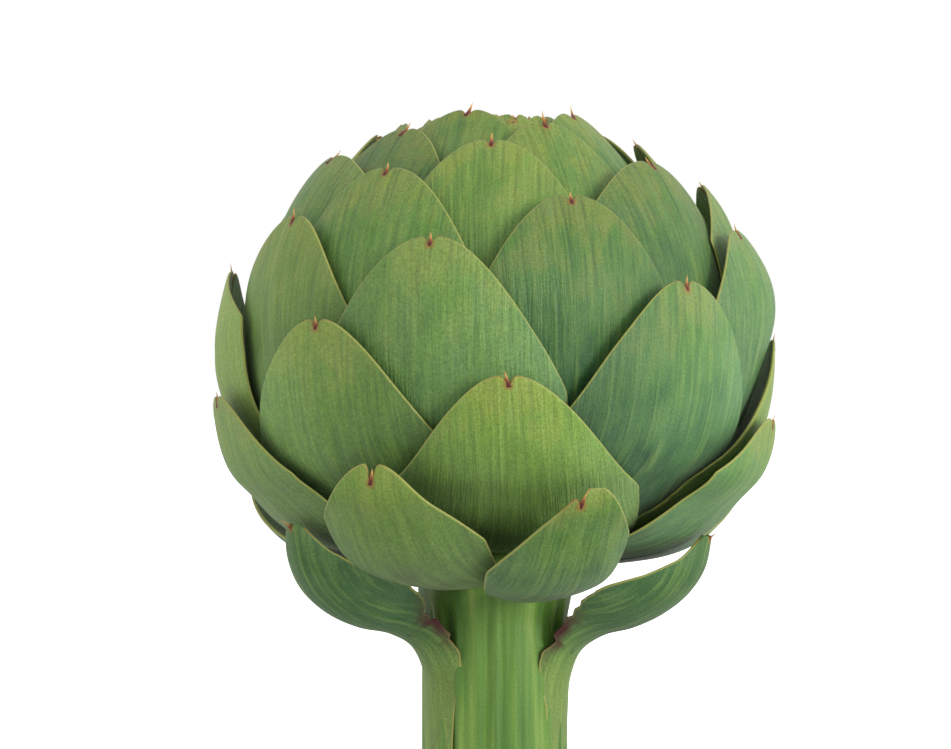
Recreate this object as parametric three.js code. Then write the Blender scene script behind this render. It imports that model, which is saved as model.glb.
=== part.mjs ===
// A whole globe artichoke that stands on the cut end of its stem.
// Millimetres, +Z up. The origin is the centre of the cut face, and the head's front looks along -Y.
//
// The head is one spiral of bracts round a rounded envelope. Bract number 0 has its tip just above the
// head's middle; lower numbers are older, lower and further out, higher numbers are younger and further in.
// Every bract lies on its own shell inside the envelope, one layer deeper for each number, so no two touch.
import * as THREE from "three";

// Head envelope: a superellipse turned about Z
const headRadius = 56;
const headMiddle = 89; // height of the widest place
const crownHeight = 49; // from the middle up to the top
const bowlDepth = 45; // from the middle down to the lowest bract
const crownSquareness = 2.05;
const bowlSquareness = 2.6;

// Spiral of the bracts
const goldenAngle = 137.508;
const frontTurn = 6; // azimuth of bract 0 before its own turn, to the right of the front
const layer = 0.62; // depth from one bract's shell to the next one's
const firstBract = -9;
const lastBract = 38;
const firstTipPolar = 95; // tip of bract 0, in degrees from the top of the head
const spiralPace = 19.5; // how many bracts the tips take to come 2.7 times nearer the top
const spiralFlare = 0.0052; // extra crowding of the tips below the middle
const closedTop = 44; // number that the spiral reaches at the very top
const bowlFlare = 0.2; // how much further each lower bract stands out round the bowl
const unflaredBract = 8; // bracts from this number on don't stand out
const flareStart = [98, 118]; // polar angles between which that flare, or a bract's own sag, grows
const flareEnd = [135, 165]; // polar angles between which the flare dies away
const sagEnd = [160, 178]; // polar angles between which a sag dies away
const turnSoftness = 1.2; // rounds the spiral's stop at the first bract
const topSoftness = 3; // rounds its stop at the top

// Bract blade
const middleThickness = 1.2; // thickest place of the outer bracts
const innerThickness = 0.8; // thickest place of the youngest bracts
const marginThickness = 0.45;
const marginCup = 0.9; // how far the margins curl in
const notchDepth = 1.6;
const notchWidth = 2.2;
const baseShare = 0.42; // width at the base, as a share of the widest
const fullShare = 0.55; // where along the blade it is widest
const shoulderDrop = 1.2; // how far the margin falls away from the tip, in half widths
const longestShoulder = 0.68; // the most it may fall, as a share of the blade's length
const lobePower = 1.7; // how pointed the upper edge is: 1 is straight, 2 is round
const cornerShare = 0.12; // share of the fall that comes as a rounded corner at the margin
const firstHalfWidth = 23.5; // half the width of bract 0
const olderNarrowing = 1.05; // how much narrower each older bract is
const widening = 3; // how much wider the bracts get over the next few
const widest = 7; // number of the widest bract
const youngerNarrowing = 0.42; // how much narrower each one after it is
const clearance = 0.3;

// Thorn at each bract's notch
const thornRadius = 0.7;
const thornLength = 2.8;
const thornLean = 0.9; // how far its point stands out from the blade

// Stem and the heart that the bracts grow from
const stemRadius = 14.4;
const heartRadius = 15.5;
const collarLow = 34;
const collarHigh = 39;
const heartTop = 74;
const heartDome = 2.6;
const ribCount = 9;
const ribHeight = 0.45;
const cutChamfer = 0.5;

const skinGreen = "#7f9a5c";
const crownGreen = "#8b9c58";
const stemGreen = "#86a25a";

// What sets a single bract apart: turn, lean and tip in degrees, left and right as shares of its half width,
// the shoulders as in shoulderDrop, and how far its lower part sags.
const bractHabits = new Map([
  [-9, { sag: 1.6 }],
  [-8, { turn: -11, tip: -8, left: 0.92, right: 0.76, leftShoulder: 1.8, rightShoulder: 0.75, sag: 2.8 }],
  [-5, { tip: -4.4, left: 0.74, leftShoulder: 0.8, rightShoulder: 1.15, full: 0.4, sag: 2.6 }],
  [-7, { sag: 1.4 }],
  [-6, { sag: 1.6 }],
  [-3, { turn: 15, tip: -7, leftShoulder: 0.8, sag: 1.8 }],
  [-2, { turn: 6, tip: -8, rightShoulder: 0.85, sag: 1.6 }],
  [0, { turn: -4, lean: 4, tip: -3.2, right: 1.05 }],
  [3, { turn: 9, tip: 0.4 }],
  [4, { turn: 1 }],
  [5, { turn: 3, tip: -0.2 }],
  [6, { turn: 4 }],
  [8, { tip: 0.2 }],
  [9, { turn: 2.5 }],
  [10, { turn: 4, tip: 2.7 }],
  [11, { turn: 11, tip: 2.2 }],
  [13, { tip: 2.6 }],
  [15, { turn: -5, tip: 2.4 }],
  [16, { turn: 2, tip: 0.8, right: 1.12 }],
  [18, { turn: 5, tip: 1.2, left: 1.2, leftShoulder: 0.7 }],
  [19, { turn: 22, tip: 1.2 }],
  [22, { turn: 11 }],
  [23, { turn: 12 }],
  [24, { turn: 13, tip: -1.2 }],
  [25, { turn: 6 }],
  [26, { turn: -8, tip: -1.2 }],
  [27, { turn: 6 }],
  [29, { turn: 6, tip: -3, left: 1.1, right: 1.1 }],
  [31, { turn: -10, tip: -2, left: 1.2, right: 1.2 }],
]);

const degrees = Math.PI / 180;
const { clamp, lerp } = THREE.MathUtils;

function smoothStep(x, low, high) {
  const t = clamp((x - low) / (high - low), 0, 1);
  return t * t * (3 - 2 * t);
}

// ---- Head envelope and the shells inside it, as (radius, height) at a polar angle in degrees ----

// The number of the bract whose tip lies at a polar angle, held between the first bract and the closed top.
function numberAt(polar) {
  const below = Math.max(0, polar - firstTipPolar);
  const free = -spiralPace * Math.log(Math.max(polar, 1) / firstTipPolar) - spiralFlare * below * below;
  const held = (free + firstBract + Math.hypot(free - firstBract, turnSoftness)) / 2;
  return (held + closedTop - Math.hypot(held - closedTop, topSoftness)) / 2;
}

function envelope(polar) {
  const sine = Math.abs(Math.sin(polar * degrees));
  const cosine = Math.cos(polar * degrees);
  const power = 2 / (cosine >= 0 ? crownSquareness : bowlSquareness);
  const reach = cosine >= 0 ? crownHeight : bowlDepth;
  const height = headMiddle + reach * Math.sign(cosine) * Math.abs(cosine) ** power;
  return new THREE.Vector2(headRadius * sine ** power, height);
}

function outwardAt(polar) {
  const step = 0.05;
  const along = envelope(polar + step).sub(envelope(polar - step));
  return new THREE.Vector2(-along.y, along.x).normalize();
}

function shell(number, polar) {
  const low = smoothStep(polar, ...flareStart);
  const flare = bowlFlare * Math.max(0, unflaredBract - number) * low * (1 - smoothStep(polar, ...flareEnd));
  const sag = (bractHabits.get(number)?.sag ?? 0) * low * (1 - smoothStep(polar, ...sagEnd));
  const depth = layer * (number - numberAt(polar)) - flare - sag;
  return envelope(polar).addScaledVector(outwardAt(polar), -depth);
}

function tipPolar(number) {
  let [low, high] = [1, 150];
  while (high - low > 1e-6) {
    const middle = (low + high) / 2;
    if (numberAt(middle) > number) low = middle;
    else high = middle;
  }
  return low;
}

// Where a shell comes in to the heart, below the head's middle.
function basePolar(number) {
  const [step, lowest] = [0.2, 176];
  let polar = 60;
  while (polar < lowest && shell(number, polar).x > heartRadius + clearance) polar += step;
  return polar;
}

// ---- Closed solids ----

// A closed geometry from an outer and an inner grid of the same size, rows by columns, joined at the rim.
function shellBetween(outer, inner) {
  const [rows, columns] = [outer.length, outer[0].length];
  const points = [...outer.flat(), ...inner.flat()];
  const at = (side, row, column) => side * rows * columns + row * columns + column;
  const faces = [];
  const quad = (a, b, c, d) => faces.push(a, b, c, a, c, d);
  for (let row = 0; row + 1 < rows; row++) {
    for (let column = 0; column + 1 < columns; column++) {
      const corners = [[row, column], [row, column + 1], [row + 1, column + 1], [row + 1, column]];
      quad(...corners.map((corner) => at(0, ...corner)));
      quad(...corners.reverse().map((corner) => at(1, ...corner)));
    }
  }
  const rim = [];
  for (let column = 0; column + 1 < columns; column++) rim.push([0, column]);
  for (let row = 0; row + 1 < rows; row++) rim.push([row, columns - 1]);
  for (let column = columns - 1; column > 0; column--) rim.push([rows - 1, column]);
  for (let row = rows - 1; row > 0; row--) rim.push([row, 0]);
  rim.forEach((corner, i) => {
    const next = rim[(i + 1) % rim.length];
    quad(at(0, ...next), at(0, ...corner), at(1, ...corner), at(1, ...next));
  });
  return facingOut(points, faces);
}

// A closed geometry from rings of points, lowest first, with a point to close each end.
function ringed(bottom, rings, top) {
  const sides = rings[0].length;
  const points = [bottom, ...rings.flat(), top];
  const at = (ring, side) => 1 + ring * sides + (side % sides);
  const faces = [];
  for (let side = 0; side < sides; side++) {
    faces.push(0, at(0, side + 1), at(0, side));
    faces.push(points.length - 1, at(rings.length - 1, side), at(rings.length - 1, side + 1));
    for (let ring = 0; ring + 1 < rings.length; ring++) {
      const [a, b] = [at(ring, side), at(ring, side + 1)];
      const [c, d] = [at(ring + 1, side + 1), at(ring + 1, side)];
      faces.push(a, b, c, a, c, d);
    }
  }
  return facingOut(points, faces);
}

// Turns every face round if the solid is inside out.
function facingOut(points, faces) {
  const normal = new THREE.Vector3();
  let volume = 0;
  for (let i = 0; i < faces.length; i += 3) {
    const [a, b, c] = faces.slice(i, i + 3).map((index) => points[index]);
    volume += a.dot(normal.crossVectors(b, c));
  }
  const geometry = new THREE.BufferGeometry().setFromPoints(points);
  geometry.setIndex(volume < 0 ? [...faces].reverse() : faces);
  return geometry;
}

// ---- Bracts ----

// Grid lines over a blade, with two more at the thorn's sides. Inner bracts are longer and need more rows.
const across = [-1, -0.62, -0.22, 0, 0.22, 0.62, 1];
const along = [0, 0.18, 0.38, 0.58, 0.8, 1];
const innerAlong = [0, 0.12, 0.24, 0.36, 0.48, 0.6, 0.73, 0.86, 1];
const firstInner = 1;

function halfWidth(number) {
  if (number < 0) return firstHalfWidth + olderNarrowing * number;
  const gain = widening * Math.sin((Math.PI / 2) * Math.min(1, number / widest));
  return firstHalfWidth + gain - youngerNarrowing * Math.max(0, number - widest);
}

// A bract's shell from its base to its tip, as a function of the length from the base.
function meridian(number, tipTurn) {
  const [base, tip] = [basePolar(number), tipPolar(number) + tipTurn];
  const steps = 60;
  const polars = Array.from({ length: steps + 1 }, (_, i) => lerp(base, tip, i / steps));
  const curve = polars.map((polar) => shell(number, polar));
  const lengths = [0];
  for (let i = 1; i <= steps; i++) lengths.push(lengths[i - 1] + curve[i].distanceTo(curve[i - 1]));
  const length = lengths[steps];
  const polarAt = (s) => {
    const found = lengths.findIndex((value) => value >= s);
    const i = found < 0 ? steps : Math.max(1, found);
    return lerp(polars[i - 1], polars[i], (s - lengths[i - 1]) / (lengths[i] - lengths[i - 1]));
  };
  return { length, polarAt };
}

// A point of a bract: u runs from -1 at the left margin to 1 at the right, v from 0 at the base to 1 at
// the upper edge, and side is 0 on the outer face and 1 on the inner one.
function bractSurface(number) {
  const habit = { turn: 0, tip: 0, lean: 0, left: 1, right: 1, full: fullShare, ...bractHabits.get(number) };
  const { leftShoulder = shoulderDrop, rightShoulder = shoulderDrop } = habit;
  const azimuth = frontTurn - goldenAngle * number + habit.turn;
  const width = halfWidth(number);
  const thickest = lerp(middleThickness, innerThickness, smoothStep(number, -4, 12));
  const { length, polarAt } = meridian(number, habit.tip);

  return (u, v, side) => {
    const shoulder = Math.min((u < 0 ? leftShoulder : rightShoulder) * width, longestShoulder * length);
    const lobe = lerp(Math.abs(u) ** lobePower, 1 - Math.sqrt(1 - u * u), cornerShare);
    const notch = notchDepth * Math.exp(-(((u * width) / notchWidth) ** 2));
    const thorn = v === 1 ? Math.max(0, 1 - Math.abs(u * width) / thornRadius) : 0;
    const s = v * (length - shoulder * lobe - notch) + thorn * thornLength;
    const share = s / length;
    const swell = Math.sin((Math.PI / 2) * Math.min(1, share / habit.full));
    const blade = width * (u < 0 ? habit.left : habit.right) * (baseShare + (1 - baseShare) * swell);

    // Step sideways along a great circle from the middle line.
    const middle = polarAt(s);
    const centre = shell(number, middle);
    const sideways = (u * blade) / Math.hypot(centre.x, centre.y - headMiddle);
    const polar = Math.acos(Math.cos(sideways) * Math.cos(middle * degrees)) / degrees;
    const turn = Math.atan2(Math.sin(sideways), Math.cos(sideways) * Math.sin(middle * degrees));

    const bulge = Math.sin(Math.PI * clamp(share, 0, 1));
    const thickness = lerp(marginThickness, thickest, (1 - u * u) * bulge ** 0.6);
    const depth = marginCup * u * u * Math.sqrt(bulge) + side * thickness - thorn * thornLean;
    const [point, out] = [shell(number, polar), outwardAt(polar)];
    point.addScaledVector(out, -depth);
    const heading = (azimuth + habit.lean * (1 - share)) * degrees + turn;
    return new THREE.Vector3(point.x * Math.sin(heading), -point.x * Math.cos(heading), point.y);
  };
}

function bractGeometry(number) {
  const surface = bractSurface(number);
  const thornEdge = thornRadius / halfWidth(number);
  const columns = [...across, -thornEdge, thornEdge].sort((a, b) => a - b);
  const rows = number < firstInner ? along : innerAlong;
  const face = (side) => rows.map((v) => columns.map((u) => surface(u, v, side)));
  return shellBetween(face(0), face(1));
}

// ---- Leaves on the stem ----

// A boat-shaped leaf. Its keel runs out from the stem and up, its sides rise, and it narrows to its tip.
function stemLeafGeometry({ azimuth, keel, halfWidth: width, rise, thickness }) {
  const curve = new THREE.CatmullRomCurve3(keel.map(([r, z]) => new THREE.Vector3(r, 0, z)));
  const face = (side) =>
    along.map((v) => {
      const centre = curve.getPointAt(v);
      const forward = curve.getTangentAt(v);
      const under = new THREE.Vector3(forward.z, 0, -forward.x);
      const open = Math.sin(Math.PI * clamp(0.16 + 0.8 * v, 0, 1)) ** 0.7;
      return across.map((u) => {
        const thin = thickness * (1 - 0.6 * u * u);
        const point = centre.clone().addScaledVector(under, -rise * open * u * u - side * thin);
        point.y += u * width * open;
        return point.applyAxisAngle(new THREE.Vector3(0, 0, 1), (azimuth - 90) * degrees);
      });
    });
  return shellBetween(face(0), face(1));
}

// ---- Stem with the heart, and the closed bud ----

function stemGeometry() {
  const sides = 36;
  const bodyHeights = [cutChamfer, 10, 20, 28, collarLow, collarHigh, 50, 60, heartTop];
  const ring = (height, inset, ribbed) =>
    Array.from({ length: sides }, (_, i) => {
      const angle = (2 * Math.PI * i) / sides;
      const collar = smoothStep(height, collarLow, collarHigh);
      const rib = ribbed ? ribHeight * (1 - collar) * Math.cos(ribCount * angle) : 0;
      const radius = lerp(stemRadius, heartRadius, collar) + rib - inset;
      return new THREE.Vector3(radius * Math.cos(angle), radius * Math.sin(angle), height);
    });
  const dome = [0.35, 0.65, 0.88].map((share) => {
    const height = heartTop + heartDome * share;
    return ring(height, heartRadius * (1 - Math.sqrt(1 - share * share)), false);
  });
  const rings = [ring(0, cutChamfer, true), ...bodyHeights.map((height) => ring(height, 0, true)), ...dome];
  return ringed(new THREE.Vector3(0, 0, 0), rings, new THREE.Vector3(0, 0, heartTop + heartDome));
}

// The youngest bracts, still folded over each other: the shell next inside the last bract, closed.
function budGeometry() {
  const [sides, bands] = [28, 16];
  const number = lastBract + 7;
  const rings = [];
  for (let band = bands - 1; band > 0; band--) {
    const { x: radius, y: height } = shell(number, (180 * band) / bands);
    rings.push(
      Array.from({ length: sides }, (_, i) => {
        const angle = (2 * Math.PI * i) / sides;
        return new THREE.Vector3(radius * Math.cos(angle), radius * Math.sin(angle), height);
      }),
    );
  }
  const [bottom, top] = [shell(number, 179.9).y, shell(number, 0.1).y];
  return ringed(new THREE.Vector3(0, 0, bottom), rings, new THREE.Vector3(0, 0, top));
}

// ---- The artichoke ----

const artichoke = new THREE.Group();

function addPiece(name, geometry, color, roughness) {
  const material = new THREE.MeshStandardMaterial({ color, roughness, metalness: 0 });
  const mesh = new THREE.Mesh(geometry, material);
  mesh.name = name;
  artichoke.add(mesh);
}

addPiece("stem", stemGeometry(), stemGreen, 0.6);
addPiece("bud", budGeometry(), crownGreen, 0.6);

const leftLeaf = {
  azimuth: -56,
  keel: [[16.6, 27.5], [21.5, 32], [29, 34.5], [36.5, 37.5], [43, 42.5], [46.5, 48], [47.5, 55]],
  halfWidth: 12,
  rise: 6,
  thickness: 1.4,
};
const rightLeaf = {
  azimuth: 66,
  keel: [[16.8, 25], [20.5, 31], [27.5, 34.5], [34, 37], [40.5, 41.5], [44, 46.5], [45.5, 52]],
  halfWidth: 12,
  rise: 6,
  thickness: 1.4,
};
addPiece("stem_leaf_left", stemLeafGeometry(leftLeaf), skinGreen, 0.6);
addPiece("stem_leaf_right", stemLeafGeometry(rightLeaf), skinGreen, 0.6);

for (let number = firstBract; number <= lastBract; number++) {
  const name = "bract_" + String(number - firstBract + 1).padStart(2, "0");
  addPiece(name, bractGeometry(number), number > 20 ? crownGreen : skinGreen, 0.6);
}

export default artichoke;
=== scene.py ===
import math

import bpy
import numpy as np
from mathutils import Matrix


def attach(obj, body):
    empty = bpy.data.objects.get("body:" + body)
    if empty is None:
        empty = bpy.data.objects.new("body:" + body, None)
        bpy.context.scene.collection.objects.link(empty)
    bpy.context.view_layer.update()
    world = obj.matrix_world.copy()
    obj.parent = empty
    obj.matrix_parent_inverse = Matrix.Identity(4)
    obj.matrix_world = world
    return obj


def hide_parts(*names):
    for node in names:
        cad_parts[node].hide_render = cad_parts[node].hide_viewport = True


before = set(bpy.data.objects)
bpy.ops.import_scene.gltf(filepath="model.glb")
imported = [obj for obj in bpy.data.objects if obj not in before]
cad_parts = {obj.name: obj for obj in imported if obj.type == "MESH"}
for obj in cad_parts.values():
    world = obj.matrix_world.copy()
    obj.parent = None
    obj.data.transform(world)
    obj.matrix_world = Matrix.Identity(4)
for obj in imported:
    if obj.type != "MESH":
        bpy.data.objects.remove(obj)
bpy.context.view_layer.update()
mm = 0.001  # every size in the dictionaries is in millimetres, and every angle in degrees

# ---- Camera ----

view = {"distance": 680, "height": 85, "aside": -3.9, "lens": 128.7, "sensor": 36}

cameraData = bpy.data.cameras.new("frontCamera")
cameraData.lens = view["lens"]
cameraData.sensor_width = view["sensor"]
camera = bpy.data.objects.new("frontCamera", cameraData)
camera.location = (view["aside"] * mm, -view["distance"] * mm, view["height"] * mm)
camera.rotation_euler = (math.pi / 2, 0, 0)
bpy.context.scene.collection.objects.link(camera)
bpy.context.scene.camera = camera
print("camera placed")

# ---- The head's form: nested shells inside a rounded envelope ----

head = {
    "radius": 56, "middle": 89, "crown": 49, "bowl": 45,
    "crownSquareness": 2.05, "bowlSquareness": 2.6,
    "turn": 6, "goldenAngle": 137.508, "layer": 0.62,
    "firstBract": -9, "lastBract": 38, "lastCrownBract": 76,
    "tipPolar": 95, "pace": 19.5, "crowding": 0.0052, "firstTurnSoftness": 1.2,
    "flare": 0.2, "unflared": 8, "flareStart": (98, 118), "flareEnd": (135, 165), "sagEnd": (160, 178),
    "heart": 15.8, "baseSearch": (60, 176),
}


def smoothStep(x, low, high):
    # 0 below low, 1 above high, 3t^2 - 2t^3 between
    t = np.clip((x - low) / (high - low), 0, 1)
    return t * t * (3 - 2 * t)


def numberAt(polar):
    # the spiral: numbers grow with minus the logarithm of the angle from the top, and stop at the first bract
    below = np.maximum(0, polar - head["tipPolar"])
    free = -head["pace"] * np.log(np.maximum(polar, 0.8) / head["tipPolar"]) - head["crowding"] * below ** 2
    return (free + head["firstBract"] + np.hypot(free - head["firstBract"], head["firstTurnSoftness"])) / 2


def envelope(polar):
    # a superellipse: |r/a|^n + |z/b|^n = 1, with one n above the middle and another below it
    sine, cosine = np.abs(np.sin(np.radians(polar))), np.cos(np.radians(polar))
    upper = cosine >= 0
    power = 2 / np.where(upper, head["crownSquareness"], head["bowlSquareness"])
    reach = np.where(upper, head["crown"], head["bowl"])
    radius = head["radius"] * sine ** power
    return radius, head["middle"] + reach * np.sign(cosine) * np.abs(cosine) ** power


def outwardAt(polar):
    # the envelope's normal, from a small step along it
    (r0, z0), (r1, z1) = envelope(polar - 0.05), envelope(polar + 0.05)
    length = np.hypot(r1 - r0, z1 - z0)
    return -(z1 - z0) / length, (r1 - r0) / length


def shell(number, polar, raised=0.0):
    # the envelope moved inwards by one layer for each number between a bract and the spiral there
    radius, height = envelope(polar)
    outR, outZ = outwardAt(polar)
    low = smoothStep(polar, *head["flareStart"])
    flare = head["flare"] * max(0, head["unflared"] - number) * low
    flare = flare * (1 - smoothStep(polar, *head["flareEnd"]))
    sag = habits.get(number, {}).get("sag", 0) * low * (1 - smoothStep(polar, *head["sagEnd"]))
    depth = head["layer"] * (number - numberAt(polar)) - flare - sag - raised
    return radius - outR * depth, height - outZ * depth


def tipPolarOf(number):
    # bisects numberAt, which falls as the angle grows
    low, high = 1.0, 150.0
    for _ in range(40):
        middle = (low + high) / 2
        low, high = (middle, high) if numberAt(middle) > number else (low, middle)
    return low


def jitter(number, salt):
    # a steady value from -1 to 1 for each number and salt
    return math.sin(12.9898 * number + 78.233 * salt) * 43758.5453 % 1 * 2 - 1


# ---- Meshes from grids ----

def gridQuads(rows, columns, start=0, closed=False):
    # one quad for each cell of a grid whose points are numbered row by row
    across = columns if closed else columns - 1
    r, c = np.meshgrid(np.arange(rows - 1), np.arange(across), indexing="ij")
    nextC = (c + 1) % columns
    corners = [r * columns + c, r * columns + nextC, (r + 1) * columns + nextC, (r + 1) * columns + c]
    return start + np.stack(corners, -1).reshape(-1, 4)


def sheetQuads(rows, columns):
    # an outer and an inner grid joined at the rim into one closed sheet
    outer = gridQuads(rows, columns)
    inner = gridQuads(rows, columns, rows * columns)[:, ::-1]
    index = np.arange(rows * columns).reshape(rows, columns)
    rim = np.concatenate([index[0, :-1], index[:-1, -1], index[-1, :0:-1], index[:0:-1, 0]])
    after = np.roll(rim, -1)
    side = np.stack([after, rim, rim + rows * columns, after + rows * columns], -1)
    return np.concatenate([outer, inner, side])


def addPiece(name, points, quads, triangles, attributes, material, node):
    # points in millimetres; the object stays at the origin with its place in its mesh
    mesh = bpy.data.meshes.new(name)
    mesh.vertices.add(len(points))
    mesh.vertices.foreach_set("co", (np.asarray(points) * mm).astype(np.float32).ravel())
    loops = np.concatenate([np.asarray(quads).ravel(), np.asarray(triangles).ravel()]).astype(np.int32)
    sizes = np.concatenate([np.full(len(quads), 4), np.full(len(triangles), 3)])
    mesh.loops.add(len(loops))
    mesh.loops.foreach_set("vertex_index", loops)
    mesh.polygons.add(len(sizes))
    mesh.polygons.foreach_set("loop_start", (np.cumsum(sizes) - sizes).astype(np.int32))
    mesh.polygons.foreach_set("use_smooth", np.ones(len(sizes), bool))
    for key, values in attributes.items():
        attribute = mesh.attributes.new(key, "FLOAT_VECTOR", "POINT")
        attribute.data.foreach_set("vector", np.asarray(values, np.float32).ravel())
    mesh.update(calc_edges=True)
    mesh.validate()
    mesh.materials.append(material)
    piece = bpy.data.objects.new(name, mesh)
    bpy.context.scene.collection.objects.link(piece)
    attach(piece, "root")
    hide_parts(node)


# ---- Materials ----

def linearOf(hexColour):
    # sRGB hex to linear, by the standard curve
    values = [int(hexColour[i:i + 2], 16) / 255 for i in (1, 3, 5)]
    return [v / 12.92 if v <= 0.04045 else ((v + 0.055) / 1.055) ** 2.4 for v in values] + [1]


def addNode(tree, kind, sockets=None, **settings):
    # settings are the node's own properties; a socket gets a value, or a link where another socket is given
    node = tree.nodes.new(kind)
    for key, value in settings.items():
        setattr(node, key, value)
    for key, value in (sockets or {}).items():
        if isinstance(value, bpy.types.NodeSocket):
            tree.links.new(value, node.inputs[key])
        else:
            node.inputs[key].default_value = value
    return node


def newMaterial(name):
    # a material with an empty node tree
    material = bpy.data.materials.new(name)
    material.use_nodes = True
    material.node_tree.nodes.clear()
    return material, material.node_tree


bractLook = {
    # the greens from the base up to the tip, and where on the blade they lie; the dark base green is painted
    # shade on the lower blade, where the outer bracts cover and shade it
    "base": "#1c4629", "low": "#3d7237", "high": "#5e8e34", "tip": "#8a9a36",
    "shadedBaseAt": 0.3, "lowAt": 0.52, "highAt": 0.8, "tipAt": 1.0,
    "mottlesPerMm": 0.11, "mottlePush": 0.6, "patch": 3.2, "patchStretch": 0.45, "patchPush": 0.6,
    "streakDark": "#2f5a2c", "darkAmount": 0.6, "streakPale": "#84a44e", "paleAmount": 0.75,
    "streakWidth": 0.9, "streakLength": 16,
    "speckle": 0.42, "speckleTone": (0.8, 1.2), "reliefDepth": 0.28,
    "bloom": "#6b9070", "bloomAmount": 0.26,  # the grey-blue waxy film, also laid on more towards the sides as painted rim light
    "yellow": "#93a53e", "ripeAmount": 0.45, "lightAmount": 0.25,
    "margin": "#a9a957", "marginWidth": 0.29, "rust": "#8c4a26", "rustReach": (1.0, 5.0), "cover": 0.85,
    "scar": "#9c6a30", "scarReach": (0.3, 1.3), "stain": 0.9,
    "thornRoot": "#5c1d1b", "thornMiddle": "#9a5a2a", "thornPoint": "#dfae62",
    "inner": "#6f8a50", "torn": "#4a161c",
    "roughness": (0.44, 0.58), "sheen": 0.16, "sheenRoughness": 0.5, "sheenTint": (0.85, 0.95, 0.75, 1),
    "ior": 1.42,
}


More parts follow.
